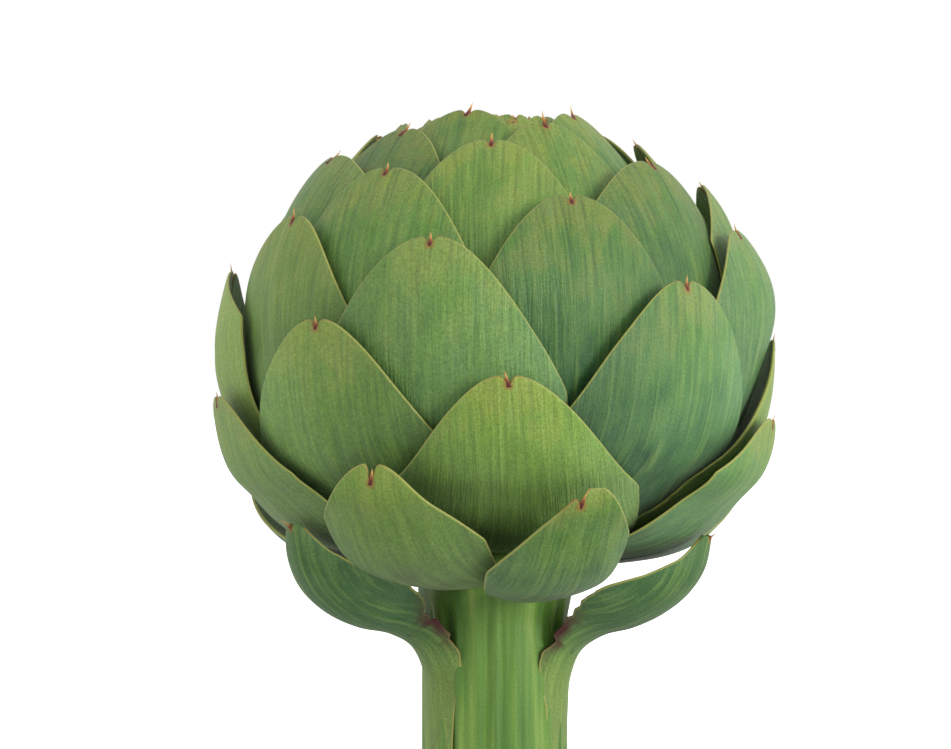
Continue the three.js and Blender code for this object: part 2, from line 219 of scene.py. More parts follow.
def bractMaterial(name, look):
    # Living artichoke bract, grown skin under a thin waxy bloom: satin, finely striped along its fibres,
    # yellower where the sun reaches it, with a dry pale margin.
    material, tree = newMaterial(name)
    place, field, kind, tone, tear = [
        addNode(tree, "ShaderNodeAttribute", attribute_name=key).outputs["Vector"]
        for key in ("bladePlace", "bladeField", "bladeKind", "bladeTone", "bladeTearAndShade")]
    share, edge, notch = addNode(tree, "ShaderNodeSeparateXYZ", {"Vector": field}).outputs
    thorn, inside, side = addNode(tree, "ShaderNodeSeparateXYZ", {"Vector": kind}).outputs
    ripe, light, waxy = addNode(tree, "ShaderNodeSeparateXYZ", {"Vector": tone}).outputs
    torn = addNode(tree, "ShaderNodeSeparateXYZ", {"Vector": tear}).outputs[0]

    streakPlace = addNode(tree, "ShaderNodeMapping", {
        "Vector": place, "Scale": (1 / look["streakWidth"], 1 / look["streakLength"], 1)})
    streak = addNode(tree, "ShaderNodeTexNoise", {
        "Vector": streakPlace.outputs[0], "Scale": 1.0, "Detail": 3.0, "Roughness": 0.6}).outputs[0]
    mottle = addNode(tree, "ShaderNodeTexNoise", {
        "Vector": place, "Scale": look["mottlesPerMm"], "Detail": 3.0, "Roughness": 0.55}).outputs[0]
    speckle = addNode(tree, "ShaderNodeTexNoise", {
        "Vector": place, "Scale": 1 / look["speckle"], "Detail": 2.0}).outputs[0]
    patchPlace = addNode(tree, "ShaderNodeMapping", {"Vector": place, "Scale": (1, look["patchStretch"], 1)})
    patch = addNode(tree, "ShaderNodeTexNoise", {
        "Vector": patchPlace.outputs[0], "Scale": 1 / look["patch"], "Detail": 4.0,
        "Roughness": 0.65}).outputs[0]

    # Height on the blade, pushed up and down by the mottling and the patches, picks the green, so the covered
    # lower blade is darkened with painted shade.
    wander = addNode(tree, "ShaderNodeMath", {0: mottle, 1: 0.5}, operation="SUBTRACT")
    broad = addNode(tree, "ShaderNodeMath", {
        0: wander.outputs[0], 1: look["mottlePush"], 2: share}, operation="MULTIPLY_ADD")
    fleck = addNode(tree, "ShaderNodeMath", {0: patch, 1: 0.5}, operation="SUBTRACT")
    level = addNode(tree, "ShaderNodeMath", {
        0: fleck.outputs[0], 1: look["patchPush"], 2: broad.outputs[0]}, operation="MULTIPLY_ADD")
    greens = addNode(tree, "ShaderNodeValToRGB", {"Fac": level.outputs[0]})
    ramp = greens.color_ramp
    ramp.elements[0].position, ramp.elements[0].color = look["shadedBaseAt"], linearOf(look["base"])
    ramp.elements[1].position, ramp.elements[1].color = look["tipAt"], linearOf(look["tip"])
    ramp.elements.new(look["lowAt"]).color = linearOf(look["low"])
    ramp.elements.new(look["highAt"]).color = linearOf(look["high"])

    # Fibres show as dark and pale streaks along the bract.
    darkPart = addNode(tree, "ShaderNodeMapRange", {
        "Value": streak, "From Min": 0.5, "From Max": 0.28, "To Max": look["darkAmount"]})
    palePart = addNode(tree, "ShaderNodeMapRange", {
        "Value": streak, "From Min": 0.5, "From Max": 0.74, "To Max": look["paleAmount"]})
    darker = addNode(tree, "ShaderNodeMix", {
        "Factor": darkPart.outputs[0], 6: greens.outputs[0],
        7: linearOf(look["streakDark"])}, data_type="RGBA")
    paler = addNode(tree, "ShaderNodeMix", {
        "Factor": palePart.outputs[0], 6: darker.outputs[2],
        7: linearOf(look["streakPale"])}, data_type="RGBA")

    # The grey-blue bloom colour is mixed in more towards the sides as painted rim light, more on the waxier
    # bracts, and at random with the mottling.
    sideRimLight = addNode(tree, "ShaderNodeMath", {0: side, 1: side}, operation="MULTIPLY")
    bloomNoise = addNode(tree, "ShaderNodeMapRange", {"Value": mottle, "From Min": 0.35, "From Max": 0.7})
    bloomWithRimLight = addNode(tree, "ShaderNodeMath", {0: sideRimLight.outputs[0], 1: bloomNoise.outputs[0]},
                       operation="ADD")
    waxWithRimLight = addNode(tree, "ShaderNodeMath", {0: bloomWithRimLight.outputs[0], 1: waxy}, operation="ADD")
    rimLitBloomShare = addNode(tree, "ShaderNodeMath", {0: waxWithRimLight.outputs[0], 1: look["bloomAmount"]},
                        operation="MULTIPLY", use_clamp=True)
    rimLitBloomed = addNode(tree, "ShaderNodeMix", {
        "Factor": rimLitBloomShare.outputs[0], 6: paler.outputs[2], 7: linearOf(look["bloom"])}, data_type="RGBA")

    # Ripeness turns a bract yellower; its lightness is set per bract, with painted light from the right added
    # towards its right margin.
    ripePart = addNode(tree, "ShaderNodeMath", {0: ripe, 1: look["ripeAmount"]}, operation="MULTIPLY",
                       use_clamp=True)
    ripened = addNode(tree, "ShaderNodeMix", {
        "Factor": ripePart.outputs[0], 6: rimLitBloomed.outputs[2], 7: linearOf(look["yellow"])}, data_type="RGBA")
    lightnessWithRightLight = addNode(tree, "ShaderNodeMath", {0: light, 1: look["lightAmount"], 2: 1.0},
                        operation="MULTIPLY_ADD")
    grit = addNode(tree, "ShaderNodeMapRange", {
        "Value": speckle, "From Min": 0.3, "From Max": 0.7,
        "To Min": look["speckleTone"][0], "To Max": look["speckleTone"][1]})
    shade = addNode(tree, "ShaderNodeMath", {0: grit.outputs[0], 1: lightnessWithRightLight.outputs[0]},
                    operation="MULTIPLY")
    gritted = addNode(tree, "ShaderNodeMix", {"Factor": 1.0, 6: ripened.outputs[2], 7: shade.outputs[0]},
                      data_type="RGBA", blend_type="MULTIPLY")
    skin = addNode(tree, "ShaderNodeMix", {
        "Factor": inside, 6: gritted.outputs[2], 7: linearOf(look["inner"])}, data_type="RGBA")

    # Dry margin line, rusty near the tip, the brown scar round the thorn, and the torn edge, whose dark
    # colour also paints shade on the stem leaves' inner face near the stem.
    rustPart = addNode(tree, "ShaderNodeMapRange", {
        "Value": notch, "From Min": look["rustReach"][0], "From Max": look["rustReach"][1],
        "To Min": look["stain"], "To Max": 0.0})
    marginTone = addNode(tree, "ShaderNodeMix", {
        "Factor": rustPart.outputs[0], 6: linearOf(look["margin"]),
        7: linearOf(look["rust"])}, data_type="RGBA")
    marginPart = addNode(tree, "ShaderNodeMapRange", {
        "Value": edge, "From Min": look["marginWidth"] * 0.6, "From Max": look["marginWidth"],
        "To Min": look["cover"], "To Max": 0.0})
    margined = addNode(tree, "ShaderNodeMix", {
        "Factor": marginPart.outputs[0], 6: skin.outputs[2], 7: marginTone.outputs[2]}, data_type="RGBA")
    scarPart = addNode(tree, "ShaderNodeMapRange", {
        "Value": notch, "From Min": look["scarReach"][0], "From Max": look["scarReach"][1],
        "To Min": look["stain"], "To Max": 0.0})
    scarred = addNode(tree, "ShaderNodeMix", {
        "Factor": scarPart.outputs[0], 6: margined.outputs[2], 7: linearOf(look["scar"])}, data_type="RGBA")
    edged = addNode(tree, "ShaderNodeMix", {
        "Factor": torn, 6: scarred.outputs[2], 7: linearOf(look["torn"])}, data_type="RGBA")

    # The thorn runs from dark red at its root to straw at its point.
    thornTones = addNode(tree, "ShaderNodeValToRGB", {"Fac": thorn})
    ramp = thornTones.color_ramp
    ramp.elements[0].position, ramp.elements[0].color = 0.12, linearOf(look["thornRoot"])
    ramp.elements[1].position, ramp.elements[1].color = 0.75, linearOf(look["thornPoint"])
    ramp.elements.new(0.4).color = linearOf(look["thornMiddle"])
    isThorn = addNode(tree, "ShaderNodeMath", {0: thorn, 1: 0.01}, operation="GREATER_THAN")
    colour = addNode(tree, "ShaderNodeMix", {
        "Factor": isThorn.outputs[0], 6: edged.outputs[2], 7: thornTones.outputs[0]}, data_type="RGBA")

    streakTone = addNode(tree, "ShaderNodeMapRange", {"Value": streak, "From Min": 0.32, "From Max": 0.68})
    relief = addNode(tree, "ShaderNodeMath", {0: speckle, 1: 0.35, 2: streakTone.outputs[0]},
                     operation="MULTIPLY_ADD")
    bump = addNode(tree, "ShaderNodeBump", {
        "Height": relief.outputs[0], "Strength": 0.6, "Distance": look["reliefDepth"] * mm})
    gloss = addNode(tree, "ShaderNodeMapRange", {
        "Value": mottle, "From Min": 0.3, "From Max": 0.7,
        "To Min": look["roughness"][0], "To Max": look["roughness"][1]})
    shader = addNode(tree, "ShaderNodeBsdfPrincipled", {
        "Base Color": colour.outputs[2], "IOR": look["ior"], "Roughness": gloss.outputs[0],
        "Sheen Weight": look["sheen"], "Sheen Roughness": look["sheenRoughness"],
        "Sheen Tint": look["sheenTint"], "Normal": bump.outputs[0]})
    addNode(tree, "ShaderNodeOutputMaterial", {"Surface": shader.outputs[0]})
    return material


bractSkin = bractMaterial("artichokeBractGrown", bractLook)
innerSkin = bractMaterial("artichokeInnerBractGrown", {
    **bractLook, "high": "#5f8b38", "low": "#457a36", "bloomAmount": 0.2})
leafSkin = bractMaterial("artichokeStemLeafGrown", {
    **bractLook, "high": "#446f2f", "low": "#35632c", "tip": "#5a7d38", "bloomAmount": 0.15})
print("bract materials made")

# ---- Bracts ----

blade = {
    "columns": 61, "rows": 45, "rowGathering": 1.7,  # the rows lie closer together towards the upper edge
    "middleThickness": 1.3, "marginThickness": 0.55, "marginRound": 0.5,
    "cup": 0.55, "plump": 1.5, "keel": 0.15, "keelWidth": 1.3,
    "wave": 0.15, "waveAcross": 2.1, "waveAlong": 9,
    "notchDepth": 2.0, "notchWidth": 0.8, "notchSharpness": 1.5, "dentDepth": 0.5, "dentWidth": 4,
    "shoulder": 1.2, "longestShoulder": 0.68, "lobePower": 1.7, "cornerShare": 0.12,
    "baseShare": 0.42, "fullShare": 0.55, "swellAlong": 0.17, "swellAcross": 0.5,
    "unlinedShare": 0.3, "unlined": 30,  # the lower sides are tucked in and have no margin line
    "patternShift": 100,  # the most that one bract's pattern is shifted
}
thornShape = {
    "radius": 0.5, "length": 2.6, "lean": 20, "leanSpread": 14, "lengthSpread": 0.2, "tiltSpread": 0.25,
    "curl": 0.25, "sunk": 0.25, "taper": 0.85, "bluntness": 0.03, "roundness": 0.8, "point": (1.04, 0.27),
    "rings": 7, "sides": 8,
    # the youngest thorns are small and lie along the head, but the grown ones of these two bracts stand up
    "youngFrom": 27, "youngSize": 0.45, "youngLean": -12, "grown": (29, 31),
}

# What sets single bracts apart: turn, lean and tip in degrees, left and right as shares of the half width,
# the shoulders, full and foot as in blade, sag, tilt and notch in millimetres, and swell as (millimetres,
# share along, share across).
habits = {
    -8: {"turn": -11, "tip": -8.5, "left": 0.92, "right": 0.76, "leftShoulder": 1.65, "rightShoulder": 0.8,
         "sag": 4.6, "tilt": 2.6, "notch": 2.6, "foot": 0.1, "full": 0.8},
    -5: {"turn": 3, "tip": -4.9, "left": 0.74, "right": 0.92, "leftShoulder": 0.8, "rightShoulder": 1.15,
         "full": 0.7, "sag": 4.2, "notch": 3.6, "foot": 0.15},
    -3: {"turn": 15, "tip": -7, "sag": 0.4, "leftShoulder": 0.62, "swell": (1.4, 0.75, -0.7)},
    -2: {"turn": 6, "tip": -8, "sag": 0.4, "rightShoulder": 0.85},
    0: {"turn": -4, "lean": 4, "tip": -3.2, "right": 1.05},
    3: {"turn": 9, "tip": 0.4},
    4: {"turn": 1},
    5: {"turn": 3, "tip": -0.2},
    6: {"turn": 4, "rightShoulder": 0.35, "swell": (2.2, 0.74, 0.5)},
    8: {"tip": 0.2},
    9: {"turn": 2.5},
    10: {"turn": 4, "tip": 2.7, "swell": (4.2, 0.8, 0.45)},
    11: {"turn": 11, "tip": 2.2},
    13: {"tip": 2.6},
    15: {"turn": -5, "tip": 2.4, "leftShoulder": 0.4, "swell": (2.6, 0.88, 0)},
    16: {"turn": 2, "tip": 0.8, "right": 1.12},
    18: {"turn": 5, "tip": 1.2, "left": 1.22, "leftShoulder": 0.65},
    19: {"turn": 22, "tip": 1.2, "rightShoulder": 0.4, "swell": (1, 0.85, 0)},
    22: {"turn": 11},
    23: {"turn": 12},
    24: {"turn": 13, "tip": -1.2},
    25: {"turn": 6},
    26: {"turn": -8, "tip": -1.2, "right": 0.88},
    27: {"turn": 6},
    29: {"turn": 6, "tip": -3, "left": 1.1, "right": 1.1},
    31: {"turn": -10, "tip": -2, "left": 1.2, "right": 1.2},
}
# How single bracts differ in colour: yellower, lighter, waxier, and lighter towards the right margin as
# painted light falling from the right.
tones = {
    -8: (0.3, -0.3, 0, 0), -5: (0.5, 0.2, 0, -0.2), -3: (0.3, 0.7, 0, 0.3), -2: (0.8, 0.4, 0.1, 0),
    0: (0.9, 0.6, 0, 0.9), 2: (0.8, 1, 0.2, 0), 3: (0.5, 0.4, 0.1, -1.4), 5: (0, 0.1, 0.5, 1.3),
    6: (1, 1.2, 0.1, 0), 8: (0.2, 0.1, 0.5, 0.8), 10: (0, 0.1, 0.6, 0.6), 11: (0.4, 0, 0, -0.4),
    13: (-0.2, -0.8, 0.1, 0), 15: (0.2, -0.2, 0, 0), 16: (0.1, -0.2, 0, 0), 18: (-0.2, -1.1, 0, 0.2),
    19: (-0.2, -0.5, 0, 0), 21: (0.3, 0.0, 0, 0), 24: (-0.2, -1.2, 0, 0), 26: (0.1, -0.2, 0, 0),
    29: (0.2, -0.8, 0, 0), 31: (0.1, -0.4, 0, 0),
}
toneSpread = {"ripe": 0.25, "light": 0.12, "rightLightReach": 22}  # the same for every bract; the reach of the painted right light is in mm
plainHabit = {
    "turn": 0, "lean": 0, "tip": 0, "left": 1, "right": 1, "tilt": 0, "swell": (0, 0.7, 0),
    "full": blade["fullShare"], "foot": blade["baseShare"], "notch": blade["notchDepth"],
    "leftShoulder": blade["shoulder"], "rightShoulder": blade["shoulder"],
}
halfWidths = {  # in mm, for the first bract with a number of 0, and how the others differ from it
    "first": 23.5, "olderNarrowing": 1.05, "widening": 3, "widest": 7, "youngerNarrowing": 0.42, "least": 7,
}


def halfWidthOf(number):
    # the bracts widen to the seventh, then narrow evenly
    if number < 0:
        return halfWidths["first"] + halfWidths["olderNarrowing"] * number
    widest = halfWidths["widest"]
    wider = halfWidths["widening"] * math.sin(math.pi / 2 * min(1, number / widest))
    narrower = halfWidths["youngerNarrowing"] * max(0, number - widest)
    return max(halfWidths["least"], halfWidths["first"] + wider - narrower)


def acrossSteps(count):
    # -1 to 1, closest together at the middle, where the notch is, and at both margins: evenly spaced in the
    # sum of a density that has a bell at each of them
    fine = np.linspace(0, 1, 600)
    middle, margin = np.exp(-((fine / 0.07) ** 2)), np.exp(-(((1 - fine) / 0.05) ** 2))
    density = 1 + 5 * middle + 4 * margin
    total = np.concatenate([[0], np.cumsum(density[1:])])
    half = np.interp(np.linspace(0, 1, count // 2 + 1), total / total[-1], fine)
    return np.concatenate([-half[:0:-1], half])


def bractGrid(number, columns, rows, startPolar=None):
    # u runs across from margin to margin and v along from base to upper edge; the blade is laid on its shell
    # by stepping up the shell's meridian and then sideways along a great circle
    habit = {**plainHabit, **habits.get(number, {})}
    width = halfWidthOf(number)
    tip = tipPolarOf(number) + habit["tip"]
    if startPolar is None:
        search = np.linspace(*head["baseSearch"], 600)
        startPolar = search[np.argmax(shell(number, search)[0] < head["heart"])]
    polars = np.linspace(startPolar, tip, 240)
    radii, heights = shell(number, polars)
    lengths = np.concatenate([[0], np.cumsum(np.hypot(np.diff(radii), np.diff(heights)))])
    length = lengths[-1]

    u = acrossSteps(columns)[None, :]
    v = (1 - (1 - np.linspace(0, 1, rows)) ** blade["rowGathering"])[:, None]
    left = u < 0
    shoulder = np.where(left, habit["leftShoulder"], habit["rightShoulder"]) * width
    shoulder = np.minimum(shoulder, blade["longestShoulder"] * length)
    corner = blade["cornerShare"]
    lobe = (1 - corner) * np.abs(u) ** blade["lobePower"] + corner * (1 - np.sqrt(np.maximum(0, 1 - u * u)))
    notch = habit["notch"] * np.exp(-np.abs(u * width / blade["notchWidth"]) ** blade["notchSharpness"])
    dent = blade["dentDepth"] * np.exp(-((u * width / blade["dentWidth"]) ** 2))
    top = length - shoulder * lobe - notch - dent + habit["tilt"] * np.sin(math.pi * u)
    s = v * top
    share = s / length
    swell = np.sin(math.pi / 2 * np.minimum(1, share / habit["full"]))
    reach = width * np.where(left, habit["left"], habit["right"])
    reach = reach * (habit["foot"] + (1 - habit["foot"]) * swell)
    x = u * reach

    middle = np.interp(s, lengths, polars)
    centre = np.hypot(np.interp(s, lengths, radii), np.interp(s, lengths, heights) - head["middle"])
    sideways = x / centre
    polar = np.degrees(np.arccos(np.clip(np.cos(sideways) * np.cos(np.radians(middle)), -1, 1)))
    turn = np.arctan2(np.sin(sideways), np.cos(sideways) * np.sin(np.radians(middle)))

    # Distances to the margins, in millimetres
    slope = np.gradient(top[0], u[0] * width)
    toTop = (top - s) / np.hypot(1, np.clip(slope, -6, 6))[None, :]
    unlined = blade["unlined"] * smoothStep(top - s, 0, 1) * (share < blade["unlinedShare"])
    toSide = (1 - np.abs(u)) * reach + unlined
    edge = np.minimum(toTop, toSide)
    notchPoint = top[0, columns // 2]
    toNotch = np.hypot(x, s - notchPoint)

    bulge = np.sin(math.pi * np.clip(share, 0, 1))
    phase = 6 * jitter(number, 1)
    raised = blade["plump"] * (1 - u * u) * bulge ** 0.8 - blade["cup"] * u * u * np.sqrt(bulge)
    raised = raised + blade["keel"] * np.exp(-((x / blade["keelWidth"]) ** 2)) * share
    ripple = np.sin(x / blade["waveAcross"] + phase) * np.sin(s / blade["waveAlong"] + phase)
    raised = raised + blade["wave"] * ripple * bulge
    swollen, along, across = habit["swell"]
    far = ((share - along) / blade["swellAlong"]) ** 2 + ((u - across) / blade["swellAcross"]) ** 2
    raised = raised + swollen * np.exp(-far)
    thicker = blade["middleThickness"] - blade["marginThickness"]
    thick = blade["marginThickness"] + thicker * (1 - u * u) * bulge
    near = np.clip(edge / blade["marginRound"], 0, 1)
    thick = thick * np.sqrt(np.maximum(0.02, 1 - (1 - near) ** 2))
    roundOff = 0.5 * blade["marginThickness"] * (1 - np.sqrt(np.maximum(0, 1 - (1 - near) ** 2)))

    heading = head["turn"] - head["goldenAngle"] * number + habit["turn"] + habit["lean"] * (1 - share)
    heading = np.radians(heading) + turn

    def placed(depth):
        radius, height = shell(number, polar, raised - depth)
        return np.stack([radius * np.sin(heading), -radius * np.cos(heading), height], -1)

    outer, inner = placed(roundOff), placed(roundOff + thick)
    seed = blade["patternShift"] * jitter(number, 2)
    place = np.stack([x + seed, s + 0 * x, np.full_like(x, seed)], -1)
    field = np.stack([share, edge, toNotch], -1)
    side = np.abs(u) + 0 * s
    kinds = [np.stack([0 * side, 0 * side + inside, side], -1) for inside in (0, 1)]
    up = outer[-1, columns // 2] - outer[-4, columns // 2]
    out = outer[-4, columns // 2] - inner[-4, columns // 2]
    return outer, inner, place, field, kinds, up, out


def thornGrid(root, up, out, number, young):
    # a cone whose axis bends outwards: rings of falling radius round root + t * up + t^2 * out
    up = up / np.linalg.norm(up)
    out = out - up * np.dot(out, up)
    out = out / np.linalg.norm(out)
    across = np.cross(up, out)
    shape = thornShape
    lean = shape["youngLean"] if young else shape["lean"]
    lean = math.radians(lean + shape["leanSpread"] * jitter(number, 3))
    size = shape["youngSize"] if young else 1
    length = size * shape["length"] * (1 + shape["lengthSpread"] * jitter(number, 4))
    tilt = shape["tiltSpread"] * jitter(number, 5)
    t = np.linspace(-shape["sunk"], 1, shape["rings"])[:, None, None]
    angle = np.linspace(0, 2 * math.pi, shape["sides"], endpoint=False)[None, :, None]
    axis = up * math.cos(lean) + out * math.sin(lean) + across * tilt
    radius = size * shape["radius"] * np.clip(1 - t, 0, 1) ** shape["taper"] + shape["bluntness"]
    ring = radius * (np.cos(angle) * across + shape["roundness"] * np.sin(angle) * out)
    points = root + t * length * axis + shape["curl"] * length * t * t * out + ring
    tipPoint = root + shape["point"][0] * length * axis + shape["point"][1] * length * out
    return points, tipPoint, np.clip(t[:, 0, 0], 0, 1) * 0.95 + 0.05


def thorned(outer, inner, place, field, kinds, up, out, number, young=False):
    # the sheet between the two grids, with its thorn at the middle of the last row
    rows, columns = outer.shape[:2]
    points = np.concatenate([outer.reshape(-1, 3), inner.reshape(-1, 3)])
    quads = sheetQuads(rows, columns)
    root = (outer[-1, columns // 2] + inner[-1, columns // 2]) / 2
    cone, tipPoint, along = thornGrid(root, up, out, number, young)
    rings, sides = cone.shape[:2]
    start = len(points)
    points = np.concatenate([points, cone.reshape(-1, 3), [cone[0].mean(0)], [tipPoint]])
    bottom, top = len(points) - 2, len(points) - 1
    quads = np.concatenate([quads, gridQuads(rings, sides, start, closed=True)])
    around = np.arange(sides)
    last = start + (rings - 1) * sides
    base = np.stack([start + (around + 1) % sides, start + around, np.full(sides, bottom)], -1)
    point = np.stack([last + around, last + (around + 1) % sides, np.full(sides, top)], -1)
    coneKind = np.zeros((rings * sides + 2, 3))
    coneKind[:-2, 0] = np.repeat(along, sides)
    coneKind[-2:, 0] = (0.05, 1)
    coneFill = np.tile([0.0, 5.0, 0.0], (rings * sides + 2, 1))
    attributes = {
        "bladePlace": np.concatenate([place.reshape(-1, 3), place.reshape(-1, 3), 0 * coneFill]),
        "bladeField": np.concatenate([field.reshape(-1, 3), field.reshape(-1, 3), coneFill]),
        "bladeKind": np.concatenate([kinds[0].reshape(-1, 3), kinds[1].reshape(-1, 3), coneKind]),
    }
    return points, quads, np.concatenate([base, point]), attributes


def bractParts(number, columns, rows, startPolar=None):
    # a bract's mesh with its thorn; its tone is its row in the table plus a jitter, lighter in proportion to
    # the way across where the table says so, as painted light falling from the right
    young = number >= thornShape["youngFrom"] and number not in thornShape["grown"]
    grid = bractGrid(number, columns, rows, startPolar)
    points, quads, triangles, attributes = thorned(*grid, number, young)
    ripe, light, waxy, paintedRightLight = tones.get(number, (0, 0, 0, 0))
    ripe = ripe + toneSpread["ripe"] * jitter(number, 7)
    light = light + toneSpread["light"] * jitter(number, 8)
    tone = np.tile([ripe, light, waxy], (len(points), 1))
    across = attributes["bladePlace"][:, 0] - attributes["bladePlace"][:, 2]
    # painted light from the right: lighter towards the bract's right margin
    tone[:, 1] += paintedRightLight * np.clip(across / toneSpread["rightLightReach"], -1, 1)
    attributes["bladeTone"] = tone
    return points, quads, triangles, attributes


lastOuterBract = 20  # the younger ones are tenderer and paler
for number in range(head["firstBract"], head["lastBract"] + 1):
    label = "%02d" % (number - head["firstBract"] + 1)
    points, quads, triangles, attributes = bractParts(number, blade["columns"], blade["rows"])
    outer = number <= lastOuterBract
    addPiece("scale" + label, points, quads, triangles, attributes, bractSkin if outer else innerSkin,
             "bract_" + label)
print("bracts made")

# ---- Crown: the youngest bracts, folded over the bud ----

crownLook = {"columns": 33, "rows": 25, "startPolar": 62}
kept = ("bladePlace", "bladeField", "bladeKind", "bladeTone")
gathered = {key: [] for key in ("points", "quads", "triangles", *kept)}
start = 0
for number in range(head["lastBract"] + 1, head["lastCrownBract"] + 1):
    points, quads, triangles, attributes = bractParts(number, crownLook["columns"], crownLook["rows"],
                                                      crownLook["startPolar"])
    gathered["points"].append(points)
    gathered["quads"].append(quads + start)
    gathered["triangles"].append(triangles + start)
    for key, values in attributes.items():
        gathered[key].append(values)
    start += len(points)
joined = {key: np.concatenate(values) for key, values in gathered.items()}
crownAttributes = {key: joined[key] for key in kept}
addPiece("crownScales", joined["points"], joined["quads"], joined["triangles"], crownAttributes, innerSkin,
         "bud")
print("crown made")

# ---- Stem ----

stem = {
    "radius": 14.4, "heart": 15.4, "collarLow": 36, "collarHigh": 42, "top": 71, "chamfer": 0.4,
    "columns": 240, "rows": 70,
    # each groove between two leaf bases: its turn at the foot, its drift up the stem, depth and width
    "grooves": [(-36, -6, 0.7, 1.1), (-8, 1, 0.6, 0.8), (5, 0, 0.25, 0.7), (52, 8, 0.6, 1.0),
                (88, 2, 0.6, 1.2), (118, -3, 0.4, 1.0), (150, 2, 0.6, 1.2), (185, 0, 0.5, 1.1),
                (214, -2, 0.4, 1.0), (246, 2, 0.6, 1.2), (282, -3, 0.5, 1.1)],
    "lip": 0.35, "lipPlace": 2, "lipWidth": 1.4,  # each groove's two lips, as a share of its depth, and in mm
    "ribs": [(47, 2, 0.06), (31, -1, 0.05)],  # fine ribs: how many, their drift and their height
    "cutRings": (0.04, 0.3, 0.6, 0.86, 0.94, 1.0), "pithRings": 4, "rindShare": 0.3,
}


def stemSurface():
    # radius over turn and height: a cylinder, less a rounded trench with raised lips at each groove,
    # plus fine ribs, swelling at the collar into the heart
    turn = np.linspace(0, 360, stem["columns"], endpoint=False)[None, :]
    level = np.linspace(0, 1, stem["rows"])[:, None]
    height = stem["collarHigh"] * level
    radius = stem["radius"] + 0 * turn * height
    for foot, drift, depth, width in stem["grooves"]:
        away = np.radians((turn - foot - drift * level + 180) % 360 - 180) * stem["radius"]
        lip = np.exp(-(((np.abs(away) - stem["lipPlace"]) / stem["lipWidth"]) ** 2))
        radius = radius - depth * np.exp(-((away / width) ** 2)) + stem["lip"] * depth * lip
    for count, drift, ribHeight in stem["ribs"]:
        radius = radius + ribHeight * np.sin(np.radians(turn) * count + level * drift)
    swell = smoothStep(height, stem["collarLow"], stem["collarHigh"])
    radius = radius * (1 - swell) + stem["heart"] * swell
    return turn + 0 * level, height + 0 * turn, radius


stemLook = {
    "dark": "#44722f", "middle": "#6b943c", "pale": "#97b458",
    "darkAt": 0.36, "middleAt": 0.5, "paleAt": 0.64,
    "streakWidth": 2.4, "streakLength": 70, "broadPerMm": (0.16, 0.02, 1), "speckleTone": (0.9, 1.1),
    "pith": "#c8cb94", "roughness": 0.5, "ior": 1.42, "reliefDepth": 0.2,
}


def stemMaterial(name, look):
    # Artichoke stem, a fibrous ribbed stalk with its skin as grown: satin, with long pale and dark streaks.
    material, tree = newMaterial(name)
    place, kind = [addNode(tree, "ShaderNodeAttribute", attribute_name=key).outputs["Vector"]
                   for key in ("bladePlace", "bladeKind")]
    cut = addNode(tree, "ShaderNodeSeparateXYZ", {"Vector": kind}).outputs[1]
    streakPlace = addNode(tree, "ShaderNodeMapping", {
        "Vector": place, "Scale": (1 / look["streakWidth"], 1 / look["streakLength"], 1)})
    streak = addNode(tree, "ShaderNodeTexNoise", {
        "Vector": streakPlace.outputs[0], "Scale": 1.0, "Detail": 4.0, "Roughness": 0.6}).outputs[0]
    broadPlace = addNode(tree, "ShaderNodeMapping", {"Vector": place, "Scale": look["broadPerMm"]})
    broad = addNode(tree, "ShaderNodeTexNoise", {
        "Vector": broadPlace.outputs[0], "Scale": 1.0, "Detail": 2.0}).outputs[0]
    speckle = addNode(tree, "ShaderNodeTexNoise", {"Vector": place, "Scale": 2.0, "Detail": 2.0}).outputs[0]
    level = addNode(tree, "ShaderNodeMath", {0: streak, 1: broad}, operation="ADD")
    half = addNode(tree, "ShaderNodeMath", {0: level.outputs[0], 1: 0.5}, operation="MULTIPLY")
    greens = addNode(tree, "ShaderNodeValToRGB", {"Fac": half.outputs[0]})
    ramp = greens.color_ramp
    ramp.elements[0].position, ramp.elements[0].color = look["darkAt"], linearOf(look["dark"])
    ramp.elements[1].position, ramp.elements[1].color = look["paleAt"], linearOf(look["pale"])
    ramp.elements.new(look["middleAt"]).color = linearOf(look["middle"])
    grit = addNode(tree, "ShaderNodeMapRange", {
        "Value": speckle, "From Min": 0.3, "From Max": 0.7,
        "To Min": look["speckleTone"][0], "To Max": look["speckleTone"][1]})
    gritted = addNode(tree, "ShaderNodeMix", {"Factor": 1.0, 6: greens.outputs[0], 7: grit.outputs[0]},
                      data_type="RGBA", blend_type="MULTIPLY")
    colour = addNode(tree, "ShaderNodeMix", {
        "Factor": cut, 6: gritted.outputs[2], 7: linearOf(look["pith"])}, data_type="RGBA")
    relief = addNode(tree, "ShaderNodeMath", {0: speckle, 1: 0.3, 2: streak}, operation="MULTIPLY_ADD")
    bump = addNode(tree, "ShaderNodeBump", {
        "Height": relief.outputs[0], "Strength": 0.6, "Distance": look["reliefDepth"] * mm})
    shader = addNode(tree, "ShaderNodeBsdfPrincipled", {
        "Base Color": colour.outputs[2], "IOR": look["ior"], "Roughness": look["roughness"],
        "Normal": bump.outputs[0]})
    addNode(tree, "ShaderNodeOutputMaterial", {"Surface": shader.outputs[0]})
    return material


stemSkin = stemMaterial("artichokeStalkFibrous", stemLook)

